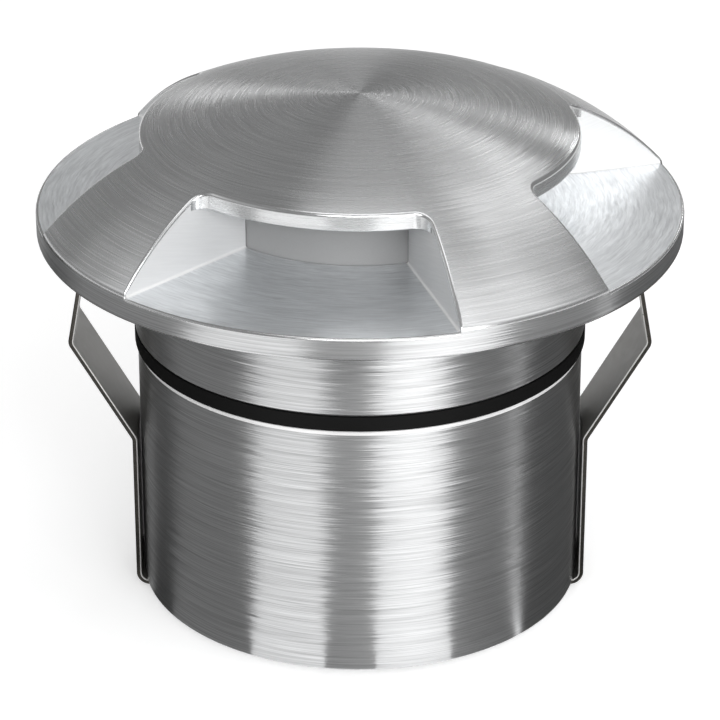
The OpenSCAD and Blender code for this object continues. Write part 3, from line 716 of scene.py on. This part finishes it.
class Sector:
    """One window and the land to both sides of it, as patches of a turned cover."""

    # How many faces each stretch of a patch is divided into
    floor_steps, land_steps, lip_steps, corner_steps = 10, 10, 14, 8
    wall_steps, face_steps, dome_steps, out_steps, in_steps = 5, 3, 26, 16, 6

    def __init__(self, sizes):
        self.s, self.dome, self.skin = sizes, Dome(sizes), Skin()
        self.half, self.end = sizes.window_half, math.pi / sizes.window_count
        self.roof = self.dome.at(sizes.overhang)[0] - sizes.shell
        self.corner_at = sizes.overhang + sizes.corner
        self.corner_angle = math.asin(sizes.corner / self.corner_at)
        self.wall_start = self.corner_at * math.cos(self.corner_angle)
        self.heights = self.wall_heights()

    def wall_heights(self):
        """Rows of the side wall where the corner meets it, from the floor fillet to the rounded edge."""
        s = self.s
        top = self.dome.at(self.wall_start)[0] - s.edge
        low = np.linspace(s.floor_top + s.fillet, self.roof, self.wall_steps + 1)
        return np.concatenate([low, np.linspace(self.roof, top, self.face_steps + 1)[1:]])

    def low_part(self, r, fillet):
        """Floor and fillet columns of half a window at radius r."""
        s = self.s
        columns = [[r, a, s.floor_top, 0, 0, 1]
                   for a in np.linspace(0, self.half - fillet / r, self.floor_steps + 1)]
        for k in range(1, ROUND_STEPS + 1):
            t = math.pi / 2 * (1 - k / ROUND_STEPS)
            columns.append([r, self.half - fillet * (1 - math.cos(t)) / r,
                            s.floor_top + fillet * (1 - math.sin(t)), 0, -math.cos(t), math.sin(t)])
        return columns

    def on_dome(self, r, a):
        """Entry of a patch for a point of the dome."""
        top, out, up = self.dome.at(r)
        return [r, a, top, out, 0, up]

    def section(self, r):
        """All columns of half a sector at a radius outside the corner, and where its zones change."""
        s = self.s
        top = self.dome.at(r)[0]
        most = ROUND_SHARE * (top - s.floor_top)
        edge, fillet = min(s.edge, most), min(s.fillet, most)
        columns = self.low_part(r, fillet)
        stops = [self.floor_steps, len(columns) - 1]
        shares = (self.heights - self.heights[0]) / (self.heights[-1] - self.heights[0])
        low, high = s.floor_top + fillet, top - edge
        columns += [[r, self.half, low + t * (high - low), 0, -1, 0] for t in shares[1:]]
        stops.append(len(columns) - 1)
        start = np.array(columns[-1], float)
        sharp = np.array([r, self.half, top, 0, 0, 1], float)
        land = np.linspace(self.half + edge / r, self.end, self.land_steps + 1)
        end = np.array(self.on_dome(r, land[0]), float)
        columns += [list(row) for row in curve_between(start, sharp, end, ROUND_STEPS)[1:]]
        stops.append(len(columns) - 1)
        columns += [self.on_dome(r, a) for a in land[1:]]
        stops.append(len(columns) - 1)
        return np.array(columns, float), stops

    def outline(self, offset):
        """Lip and corner of the opening, moved into the metal by offset, as rows of
        radius, angle, and the outward and around parts of the direction into the metal."""
        s = self.s
        offset = np.broadcast_to(offset, (self.lip_steps + self.corner_steps + 1,))
        lip_end = self.half - self.corner_angle
        rows = []
        for k, a in enumerate(np.linspace(0, lip_end, self.lip_steps + 1)):
            rows.append([s.overhang - offset[k], a, -1.0, 0.0])
        centre = self.corner_at * np.array([math.cos(lip_end), math.sin(lip_end)])
        for k in range(1, self.corner_steps + 1):
            angle = lip_end + math.pi + (self.half - math.pi / 2 - lip_end) * k / self.corner_steps
            way = np.array([math.cos(angle), math.sin(angle)])
            into = offset[self.lip_steps + k]
            point = centre + (s.corner + into) * way
            r, a = math.hypot(*point), math.atan2(point[1], point[0])
            out = way @ np.array([math.cos(a), math.sin(a)])
            around = way @ np.array([-math.sin(a), math.cos(a)])
            if k == self.corner_steps:
                r, a, out, around = self.wall_start, self.half + into / self.wall_start, 0.0, 1.0
            rows.append([r, a, out, around])
        return np.array(rows)

    def build(self):
        self.outer_part()
        self.dome_part()
        self.lip_part()
        self.window_inside()
        self.lower_part()
        return self.skin.mesh("cover_sector")

    def outer_part(self):
        """Everything from the corners of the windows out to the rim, and the rim's rounded edge and band."""
        s = self.s
        radii = np.linspace(self.wall_start, s.flange_radius - s.rim_edge, self.out_steps + 1)
        rows = np.array([self.section(r)[0] for r in radii])
        sharp, stops = self.section(s.flange_radius)
        start = 0
        for stop, zone in zip(stops, (ZONE_FLOOR, ZONE_FILLET, ZONE_WALL, ZONE_EDGE, ZONE_DOME)):
            self.skin.mirrored(rows[:, start:stop + 1], zone)
            start = stop
        band_top = altered(sharp, z=sharp[:, 2] - s.rim_edge, facing=(1, 0, 0))
        self.skin.mirrored(curve_between(rows[-1], sharp, band_top, ROUND_STEPS), ZONE_EDGE)
        band_foot = altered(band_top, z=s.seat + s.edge_break)
        self.skin.mirrored(straight_between(band_top, band_foot, self.face_steps), ZONE_BAND)
        under = altered(band_foot, r=band_foot[:, 0] - s.edge_break, z=s.seat, facing=(0, 0, -1))
        corner = altered(band_foot, z=s.seat)
        self.skin.mirrored(curve_between(band_foot, corner, under, ROUND_STEPS), ZONE_EDGE)
        self.rim_ring = under[np.concatenate([[True], np.diff(under[:, 1]) > TINY])]

    def dome_part(self):
        """The dome inside the lip, and the land between the windows inside their corners."""
        line = self.outline(self.s.edge)
        shares = np.linspace(0, 1, self.dome_steps + 1)
        self.skin.mirrored([[self.on_dome(t * r, a) for r, a, _, _ in line] for t in shares], ZONE_DOME)
        land = np.linspace(line[-1][1], self.end, self.land_steps + 1)
        self.skin.mirrored([[self.on_dome(t * self.wall_start, a) for a in land] for t in shares], ZONE_DOME)

    def lip_part(self):
        """The rounded upper edge, the cut face, its lower rounding and the roof behind it."""
        s = self.s
        taper = np.ones(self.lip_steps + self.corner_steps + 1)
        taper[self.lip_steps:] = 1 - np.linspace(0, 1, self.corner_steps + 1)
        r, a, out, around = self.outline(0.0).T
        tops = np.array([self.dome.at(radius)[0] for radius in r])
        start = rows_of(r, a, tops - s.edge, -out, -around, 0)
        end = np.array([self.on_dome(*row[:2]) for row in self.outline(s.edge)], float)
        self.skin.mirrored(curve_between(start, altered(start, z=tops), end, ROUND_STEPS), ZONE_EDGE)
        foot = altered(start, z=self.roof + s.lower_edge * taper)
        self.skin.mirrored(straight_between(foot, start, self.face_steps), ZONE_LIP)
        r, a, _, _ = self.outline(s.lower_edge * taper).T
        under = rows_of(r, a, self.roof, 0, 0, -1)
        sharp = altered(foot, z=self.roof)
        self.skin.mirrored(curve_between(foot, sharp, under, ROUND_STEPS // 2), ZONE_EDGE)
        self.roof_ring = altered(under, r=s.chamber, a=a * self.half / a[-1])
        self.skin.mirrored(straight_between(self.roof_ring, under, self.in_steps), ZONE_FLOOR)

    def window_inside(self):
        """Floor, fillet and side wall between the chamber and the corner."""
        rows = []
        for r in np.linspace(self.s.chamber, self.wall_start, self.in_steps + 1):
            wall = [[r, self.half, z, 0, -1, 0] for z in self.heights[1:self.wall_steps + 1]]
            rows.append(self.low_part(r, self.s.fillet) + wall)
        rows = np.array(rows, float)
        low = self.floor_steps + ROUND_STEPS
        self.skin.mirrored(rows[:, :self.floor_steps + 1], ZONE_FLOOR)
        self.skin.mirrored(rows[:, self.floor_steps:low + 1], ZONE_FILLET)
        self.skin.mirrored(rows[:, low:], ZONE_WALL)
        self.chamber_ring = rows[0, :low + 1]

    def turned(self, angles, zone, r, z, stretches):
        """Turned faces from a radius and a height on, each stretch with the radius and height of its end
        and the outward and up parts of its normal."""
        for next_r, next_z, out, up in stretches:
            ends = [rows_of(r, angles, z, out, 0, up), rows_of(next_r, angles, next_z, out, 0, up)]
            self.skin.mirrored(ends, zone)
            r, z = next_r, next_z

    def lower_part(self):
        """Underside of the flange, skirt, spigot, bore and the chamber behind the windows."""
        s = self.s
        land = np.linspace(self.half, self.end, self.land_steps + 1)
        angles = np.concatenate([self.chamber_ring[:, 1], land[1:]])
        inner = rows_of(s.skirt_radius, angles, s.seat, 0, 0, -1)
        self.skin.lace(self.rim_ring, inner, ZONE_SKIRT)
        self.skin.lace((self.rim_ring * MIRROR)[::-1], (inner * MIRROR)[::-1], ZONE_SKIRT)
        b, slope = s.edge_break, math.sqrt(0.5)
        self.turned(angles, ZONE_SKIRT, s.skirt_radius, s.seat, [
            (s.skirt_radius, s.skirt_foot + b, 1, 0),
            (s.skirt_radius - b, s.skirt_foot, slope, -slope),
            (s.spigot_radius, s.skirt_foot, 0, -1),
            (s.spigot_radius, s.spigot_foot + b, 1, 0),
            (s.spigot_radius - b, s.spigot_foot, slope, -slope),
            (s.bore, s.spigot_foot, 0, -1),
            (s.bore, s.shoulder, -1, 0),
            (s.chamber, s.shoulder, 0, -1)])
        below = altered(self.chamber_ring, facing=(-1, 0, 0))
        self.skin.mirrored([altered(below, z=s.shoulder), below], ZONE_FLOOR)
        ceiling = self.roof + s.roof_land
        heights = [s.shoulder, *self.heights[:self.wall_steps + 1], ceiling]
        self.skin.mirrored([rows_of(s.chamber, land, z, -1, 0, 0) for z in heights], ZONE_FLOOR)
        above = altered(self.roof_ring, facing=(-1, 0, 0))
        self.skin.mirrored([above, altered(above, z=ceiling)], ZONE_FLOOR)
        self.turned(np.concatenate([self.roof_ring[:, 1], land[1:]]), ZONE_FLOOR, s.chamber, ceiling, [
            (s.screw_hole, ceiling, 0, -1),
            (s.screw_hole, ceiling + s.screw_depth, -1, 0),
            (0, ceiling + s.screw_depth, 0, -1)])


# The coarse brushing that the skirt and the tube share
COARSE_BRUSH = dict(rough=0.37, stretch=0.7, along=2.2, across=13000.0, tilt=0.45, contrast=0.34)


class GROUNDLIGHT_OT_cover(bpy.types.Operator):
    """Builds the domed cover with its windows"""

    bl_idname = "ground_light.cover"
    bl_label = "Cover"

    def execute(self, context):
        s, finish = settings().cover, settings().finish
        looks = {
            ZONE_DOME: spun_steel("dome_steel", finish.steel, rough=0.28, stretch=0.94, tilt=0.12,
                                  contrast=0.24),
            ZONE_EDGE: spun_steel("edge_steel", finish.steel, rough=0.22, stretch=0.3, tilt=0.03,
                                  contrast=0.03),
            ZONE_FLOOR: spun_steel("window_floor_steel", finish.milled, rough=0.32, stretch=0.5, along=9.0,
                                   across=5200.0, tilt=0.3, contrast=0.2, metallic=0.85, wave=0.4 * MM),
            ZONE_WALL: scratched_steel("window_wall_steel", finish.wall, rough=0.4, metallic=0.4, slant=0.3,
                                       contrast=0.02, bump=0.001 * MM),
            ZONE_LIP: spun_steel("lip_steel", finish.lip, rough=0.27, stretch=0.5, along=3.0, tilt=0.08),
            ZONE_BAND: spun_steel("band_steel", finish.steel, rough=0.35, stretch=0.7, across=11000.0,
                                  tilt=0.35, contrast=0.3),
            ZONE_SKIRT: spun_steel("skirt_steel", finish.steel, **COARSE_BRUSH),
            # Painted highlight along the fillets between the windows' floors and walls
            ZONE_FILLET: plain_material("fillet_painted_highlight", finish.fillet, 0.45, metallic=0.35, contrast=0.02),
        }
        values = {"Count": s.window_count, "Start": s.turn}
        values |= {f"Material {zone}": looks[zone] for zone in ZONES}
        mesh = run_tree("cover_body", Sector(s).build(), ring_tree(len(ZONES)), values)
        shade_finely(mesh, turned_normals(mesh))
        piece = add_object("cover_body", mesh)
        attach(piece, "cover")
        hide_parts("cover")
        return {"FINISHED"}


# Housing


class GROUNDLIGHT_OT_housing(bpy.types.Operator):
    """Gives the tube and the gasket their finishes"""

    bl_idname = "ground_light.housing"
    bl_label = "Housing"

    def execute(self, context):
        finish = settings().finish
        # Heights between which the tube's upper corner gets its painted highlight
        corner = TUBE_HIGH.z - finish.corner, TUBE_HIGH.z + finish.corner
        dress("housing_tube", spun_steel("tube_steel", finish.steel, corner=corner, **COARSE_BRUSH))
        dress("housing_gasket", plain_material("gasket_rubber", finish.rubber, 0.6, contrast=0.1,
                                               specular=0.12))
        return {"FINISHED"}


# Spring strips


# Looks of the strip's faces; the third is a painted highlight on its outward rounded corners
FACE, SHEARED, PAINTED_HIGHLIGHT = range(3)
BEND_STEPS = 10


def bend_line(points, radii):
    """Points along a bent line, with each inner corner rounded to its radius."""
    points = [np.array(p, float) for p in points]
    line = [points[0]]
    for i, radius in enumerate(radii, start=1):
        before, after = points[i - 1] - points[i], points[i + 1] - points[i]
        before, after = before / np.linalg.norm(before), after / np.linalg.norm(after)
        angle = math.acos(float(np.clip(before @ after, -1, 1)))
        reach, turn = radius / math.tan(angle / 2), math.pi - angle
        middle = points[i] + (before + after) / np.linalg.norm(before + after) * radius / math.sin(angle / 2)
        start, end = points[i] + before * reach - middle, points[i] + after * reach - middle
        for k in range(BEND_STEPS + 1):
            t = k / BEND_STEPS
            way = start * math.sin((1 - t) * turn) + end * math.sin(t * turn)
            line.append(middle + way / math.sin(turn))
    line.append(points[-1])
    return np.array(line)


def strip_line(sizes):
    """Middle line of the strip on the plane through the axis, and its direction at each point."""
    half_t = sizes.thickness / 2
    foot_z, reach_x = FOOT_LOW.z + half_t, ARM_HIGH.x - half_t
    tip_x = reach_x - (ARM_HIGH.z - sizes.reach_height) * math.tan(sizes.lean)
    line = bend_line([(sizes.foot_start, foot_z), (sizes.upright, foot_z),
                      (sizes.upright, sizes.elbow_height), (reach_x, sizes.reach_height),
                      (tip_x, ARM_HIGH.z)], [sizes.foot_bend, sizes.arm_bend, sizes.arm_bend])
    ways, steps = np.gradient(line, axis=0), np.diff(line, axis=0)
    ways[0], ways[-1] = steps[0], steps[-1]
    return line, ways / np.linalg.norm(ways, axis=1, keepdims=True)


def strip_section(sizes):
    """Points round the strip's section, as rows of place and normal, and the look of the face after each."""
    half_t, half_w, e = sizes.thickness / 2, sizes.width / 2, sizes.edge
    section, looks = [], []
    # The outward rounded corners get the painted highlight, the inward ones the sheared edges' dark colour
    corners = ((1, 1, PAINTED_HIGHLIGHT, FACE), (-1, 1, PAINTED_HIGHLIGHT, SHEARED),
               (-1, -1, SHEARED, FACE), (1, -1, SHEARED, SHEARED))
    for start, (across, out, rounding, side) in enumerate(corners):
        for k in range(ROUND_STEPS + 1):
            t = (start + k / ROUND_STEPS) * math.pi / 2
            section.append((across * (half_w - e) + e * math.cos(t), out * (half_t - e) + e * math.sin(t),
                            math.cos(t), math.sin(t)))
        looks += [rounding] * ROUND_STEPS + [side]
    return [*section, section[0]], looks


def strip_mesh(name, sizes, side):
    """A bent steel strip with rounded edges, on the side of plus or minus X."""
    line, ways = strip_line(sizes)
    section, looks = strip_section(sizes)
    rows = np.array([[((x - wz * n) * side, y, z + wx * n, -wz * nn * side, ny, wx * nn)
                      for y, n, ny, nn in section] for (x, z), (wx, wz) in zip(line, ways)])
    skin = Skin()
    for before, after in zip(rows, rows[1:]):
        for j, look in enumerate(looks):
            skin.plain_face([before[j], before[j + 1], after[j + 1], after[j]], look)
    for row, way, sign in ((rows[0], ways[0], -1), (rows[-1], ways[-1], 1)):
        cap = altered(row[:-1], facing=(way[0] * side * sign, 0, way[1] * sign))
        for j in range(len(cap)):
            skin.plain_face([cap[j], cap[(j + 1) % len(cap)], cap.mean(0)], SHEARED)
    mesh = skin.mesh(name)
    zones = read_all(mesh.attributes["zone"].data, "value", np.int32)
    mesh.polygons.foreach_set("material_index", zones.ravel())
    shade_finely(mesh, kept_normals(mesh))
    return mesh


class GROUNDLIGHT_OT_strips(bpy.types.Operator):
    """Builds the two bent spring strips"""

    bl_idname = "ground_light.strips"
    bl_label = "Spring strips"

    def execute(self, context):
        sizes, finish = settings().strip, settings().finish
        looks = {
            FACE: plain_material("strip_steel", finish.strip, 0.42, metallic=0.75, grain_scale=1500.0),
            SHEARED: plain_material("sheared_steel", finish.sheared, 0.38, metallic=1.0, grain_scale=4000.0,
                                    contrast=0.2, bump=0.004 * MM),
            # Painted highlight on the strip's outward rounded corners
            PAINTED_HIGHLIGHT: plain_material("strip_painted_highlight", finish.bright, 0.3, metallic=0.5),
        }
        for word, side in (("right", 1), ("left", -1)):
            mesh = strip_mesh(f"strip_{word}", sizes, side)
            for look in (FACE, SHEARED, PAINTED_HIGHLIGHT):
                mesh.materials.append(looks[look])
            piece = add_object(f"strip_{word}", mesh)
            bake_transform(piece)
            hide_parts(f"clip_foot_{word}", f"clip_arm_{word}")
        return {"FINISHED"}


# Finishes of the nodes that keep their solid


# Node, and name, colour and roughness of its finish, for the inner pieces that share theirs with no other
OWN_FINISHES = (
    ("thermal_pad", "pad_silicone", (0.5, 0.56, 0.66), 0.6),
    ("led_board", "white_board", (0.8, 0.8, 0.78), 0.4),
    ("led_chips", "chip_gel", (0.85, 0.7, 0.22), 0.3),
    ("led_leads", "lead_sleeve", (0.6, 0.04, 0.03), 0.45),
    ("driver_board", "board_green", (0.03, 0.2, 0.08), 0.35),
    ("capacitor", "capacitor_sleeve", (0.05, 0.07, 0.18), 0.3),
    ("terminal_block", "terminal_green", (0.1, 0.35, 0.16), 0.35),
    ("board_spacers", "spacer_nylon", (0.8, 0.78, 0.72), 0.5),
)

ALUMINIUM, POLISHED, SCREW_STEEL = (0.7, 0.7, 0.72), (0.88, 0.88, 0.9), (0.6, 0.6, 0.6)
BLACK = (0.02, 0.02, 0.022)
RUBBER_NODES = ("diffuser_seal_upper", "diffuser_seal_lower", "base_seal", "gland_washer", "gland_seal")
ALUMINIUM_NODES = ("clamp_ring", "heat_sink")
SCREW_NODES = ("reflector_screw", "led_board_screws", "tie_screws", "clip_rivets")
BLACK_NODES = ("choke", "rectifier", "gland_body", "gland_locknut", "gland_nut")


class GROUNDLIGHT_OT_nodes(bpy.types.Operator):
    """Gives every remaining node its finish"""

    bl_idname = "ground_light.nodes"
    bl_label = "Inner pieces"

    def execute(self, context):
        finish = settings().finish
        rubber = plain_material("seal_rubber", finish.rubber, 0.55, contrast=0.1)
        aluminium = spun_steel("turned_aluminium", ALUMINIUM, stretch=0.6)
        screw = spun_steel("screw_steel", SCREW_STEEL, stretch=0.3)
        black = plain_material("black_plastic", BLACK, 0.45, contrast=0.1)
        for nodes, material in ((RUBBER_NODES, rubber), (ALUMINIUM_NODES, aluminium),
                                (SCREW_NODES, screw), (BLACK_NODES, black)):
            for node in nodes:
                dress(node, material)
        for node, *values in OWN_FINISHES:
            dress(node, plain_material(*values))
        dress("diffuser_ring", plain_material("frosted_plastic", finish.diffuser, 0.55, grain_scale=6000.0,
                                              contrast=0.02))
        dress("reflector_cone", plain_material("bright_aluminium", POLISHED, 0.08, metallic=1.0))
        dress("base_cap", spun_steel("cap_steel", finish.steel, stretch=0.6, along=5.0))
        return {"FINISHED"}


# Studio


# Name, azimuth from the camera towards the right, elevation, width, height and power of each soft box
SOFT_BOXES = (
    ("front_box", 0, 35, 0.5, 0.3, 2.57),
    ("over_box", 0, 85, 0.5, 0.5, 1.15),
    ("right_front_box", 28, 14, 0.35, 0.3, 2.9),
    ("right_high_box", 62, 50, 0.5, 0.5, 0.56),
    ("right_wide_box", 60, 40, 1.0, 0.6, 0.86),
    ("back_top_box", 140, 55, 0.3, 0.3, 0.4),
    ("right_back_box", 153, 20, 0.05, 0.2, 0.17),
    ("streak_box", 155, 40, 0.12, 0.12, 0.11),
    ("high_streak_box", 165, 37.5, 0.12, 0.12, 0.03),
    ("thin_streak_box", 165, 26, 0.05, 0.2, 0.02),
    ("back_streak_box", 175, 27, 0.05, 0.2, 0.04),
    ("left_streak_box", -170, 15, 0.05, 0.1, 0.038),
    ("left_box", -90, 30, 0.35, 0.35, 0.15),
    ("left_wide_box", -85, 32, 1.1, 0.6, 0.4),
)
BOX_DISTANCE = 0.9
BOX_TARGET = Vector((0, 0, 30 * MM))

# Name of each dark card, the azimuths on the tube between which it is mirrored, and its brightness
CARDS = (
    ("card_front", -9, 4, 0.24),
    ("card_left", -58, -29, 0.17),
    ("card_dark_left", -71, -58, 0.03),
    ("card_far_left", -88, -71, 0.22),
    ("card_right", 24, 44.3, 0.15),
    ("card_back", 46.4, 88, 0.055),
)
# A card starts near the tube and the floor, and slopes up to CARD_RISE at CARD_REACH from the axis, where
# its azimuths are narrowed by CARD_LEAN
CARD_GAP, CARD_FOOT = 0.5 * MM, 0.2 * MM
CARD_RISE, CARD_REACH, CARD_LEAN = 36 * MM, 62 * MM, 0.94
CARD_CLOTH = (0.02, 0.02, 0.02, 1)
# Degrees between the points of a card's edges, and the fewest of them
CARD_STEP, CARD_POINTS = 2, 3

FLOOR_HALF = 3.0
FLOOR_WHITE = (0.85, 0.85, 0.85, 1)
FLOOR_ROUGH = 0.9
WHITE = (1, 1, 1, 1)
SENSOR_WIDTH = 36.0
CLIP_NEAR, CLIP_FAR = 0.01, 20.0


def soft_box(name, azimuth, elevation, width, height, power):
    """A lamp that looks at the middle of the light from an azimuth and an elevation in degrees."""
    a, e = math.radians(azimuth), math.radians(elevation)
    way = Vector((math.sin(a) * math.cos(e), -math.cos(a) * math.cos(e), math.sin(e)))
    data = bpy.data.lights.new(name, "AREA")
    data.shape, data.size, data.size_y, data.energy = "RECTANGLE", width, height, power
    lamp = add_object(name, data)
    lamp.location = BOX_TARGET + way * BOX_DISTANCE
    lamp.rotation_mode = "QUATERNION"
    lamp.rotation_quaternion = way.to_track_quat("Z", "Y")
    lamp.visible_camera = False


def card_grey(name, brightness):
    """Dark cloth that shines as dimly as the studio's light would make it."""
    material, tree, shader = new_material(f"{name}_grey")
    shader.inputs["Base Color"].default_value = CARD_CLOTH
    shader.inputs["Emission Color"].default_value = WHITE
    shader.inputs["Emission Strength"].default_value = brightness
    return material


def sight_line(azimuth):
    """A point of the tube's outline, and the level way in which it mirrors the camera's line of sight."""
    point = TUBE_HIGH.x * np.array([math.sin(azimuth), -math.cos(azimuth)])
    return point, np.array([math.sin(2 * azimuth), -math.cos(2 * azimuth)])


def card(name, start, end, brightness):
    """A dark card that slopes up along mirrored lines of sight, and shows only in reflections."""
    inner, outer = [], []
    for a in np.radians(np.linspace(start, end, max(CARD_POINTS, int(end - start) // CARD_STEP))):
        point, way = sight_line(a)
        inner.append((*(point + way * CARD_GAP), CARD_FOOT))
        point, way = sight_line(a * CARD_LEAN)
        along = point @ way
        far = math.sqrt(along * along + CARD_REACH ** 2 - point @ point) - along
        outer.append((*(point + way * far), CARD_RISE))
    n = len(inner)
    piece = stage_mesh(name, inner + outer, [(i, i + 1, n + i + 1, n + i) for i in range(n - 1)],
                       card_grey(name, brightness))
    for kind in ("camera", "diffuse", "shadow", "transmission", "volume_scatter"):
        setattr(piece, f"visible_{kind}", False)


def stage_mesh(name, points, faces, material):
    """A mesh that belongs to the studio."""
    mesh = bpy.data.meshes.new(name)
    mesh.from_pydata(points, [], faces)
    mesh.materials.append(material)
    piece = add_object(name, mesh)
    return piece


def floor_white(glow):
    """White paint that shines for the camera and in reflections, and lights nothing."""
    material, tree, shader = new_material("floor_white")
    shader.inputs["Base Color"].default_value = FLOOR_WHITE
    shader.inputs["Roughness"].default_value = FLOOR_ROUGH
    shader.inputs["Emission Color"].default_value = WHITE
    path = add_node(tree, "ShaderNodeLightPath")
    seen = math_node(tree, "MAXIMUM", path.outputs["Is Camera Ray"], path.outputs["Is Glossy Ray"])
    seen = math_node(tree, "MAXIMUM", seen, path.outputs["Is Transmission Ray"])
    tree.links.new(math_node(tree, "MULTIPLY", seen, glow), shader.inputs["Emission Strength"])
    return material


class GROUNDLIGHT_OT_studio(bpy.types.Operator):
    """Sets up the camera, the floor, the lamps and the dark cards"""

    bl_idname = "ground_light.studio"
    bl_label = "Studio"

    def execute(self, context):
        studio, scene = settings().studio, context.scene
        data = bpy.data.cameras.new("camera")
        data.lens, data.sensor_width = studio.lens, SENSOR_WIDTH
        data.clip_start, data.clip_end = CLIP_NEAR, CLIP_FAR
        camera = add_object("camera", data)
        camera.location = (0, -studio.distance, studio.height)
        camera.rotation_euler = (math.pi / 2 - studio.pitch, 0, 0)
        scene.camera = camera
        scene.view_settings.view_transform = "Standard"

        world = bpy.data.worlds.new("studio")
        scene.world = world
        world.use_nodes = True
        background = world.node_tree.nodes["Background"]
        background.inputs["Color"].default_value = WHITE
        background.inputs["Strength"].default_value = studio.ambient

        corners = [(x * FLOOR_HALF, y * FLOOR_HALF, 0) for x, y in ((-1, -1), (1, -1), (1, 1), (-1, 1))]
        stage_mesh("floor", corners, [(0, 1, 2, 3)], floor_white(studio.floor))
        for box in SOFT_BOXES:
            soft_box(*box)
        for name, start, end, brightness in CARDS:
            card(name, start, end, studio.card * brightness)
        return {"FINISHED"}


class GROUNDLIGHT_PT_panel(bpy.types.Panel):
    bl_idname = "GROUNDLIGHT_PT_panel"
    bl_label = "Ground Light"
    bl_space_type = "VIEW_3D"
    bl_region_type = "UI"
    bl_category = "Ground Light"

    def draw(self, context):
        for operator in OPERATORS:
            self.layout.operator(operator.bl_idname)
        for group in ("cover", "strip", "finish", "studio"):
            box = self.layout.box()
            values = getattr(settings(), group)
            for key in values.__annotations__:
                box.prop(values, key)


OPERATORS = (GROUNDLIGHT_OT_studio, GROUNDLIGHT_OT_cover, GROUNDLIGHT_OT_housing, GROUNDLIGHT_OT_strips,
             GROUNDLIGHT_OT_nodes)
CLASSES = (CoverSizes, StripSizes, Finishes, Studio, GroundLight, *OPERATORS, GROUNDLIGHT_PT_panel)


def register():
    for c in CLASSES:
        bpy.utils.register_class(c)
    bpy.types.Scene.ground_light = PointerProperty(type=GroundLight)


def unregister():
    del bpy.types.Scene.ground_light
    for c in reversed(CLASSES):
        bpy.utils.unregister_class(c)


def main():
    register()
    bpy.ops.ground_light.studio()
    bpy.ops.ground_light.cover()
    bpy.ops.ground_light.housing()
    bpy.ops.ground_light.strips()
    bpy.ops.ground_light.nodes()


if __name__ == "__main__":
    main()
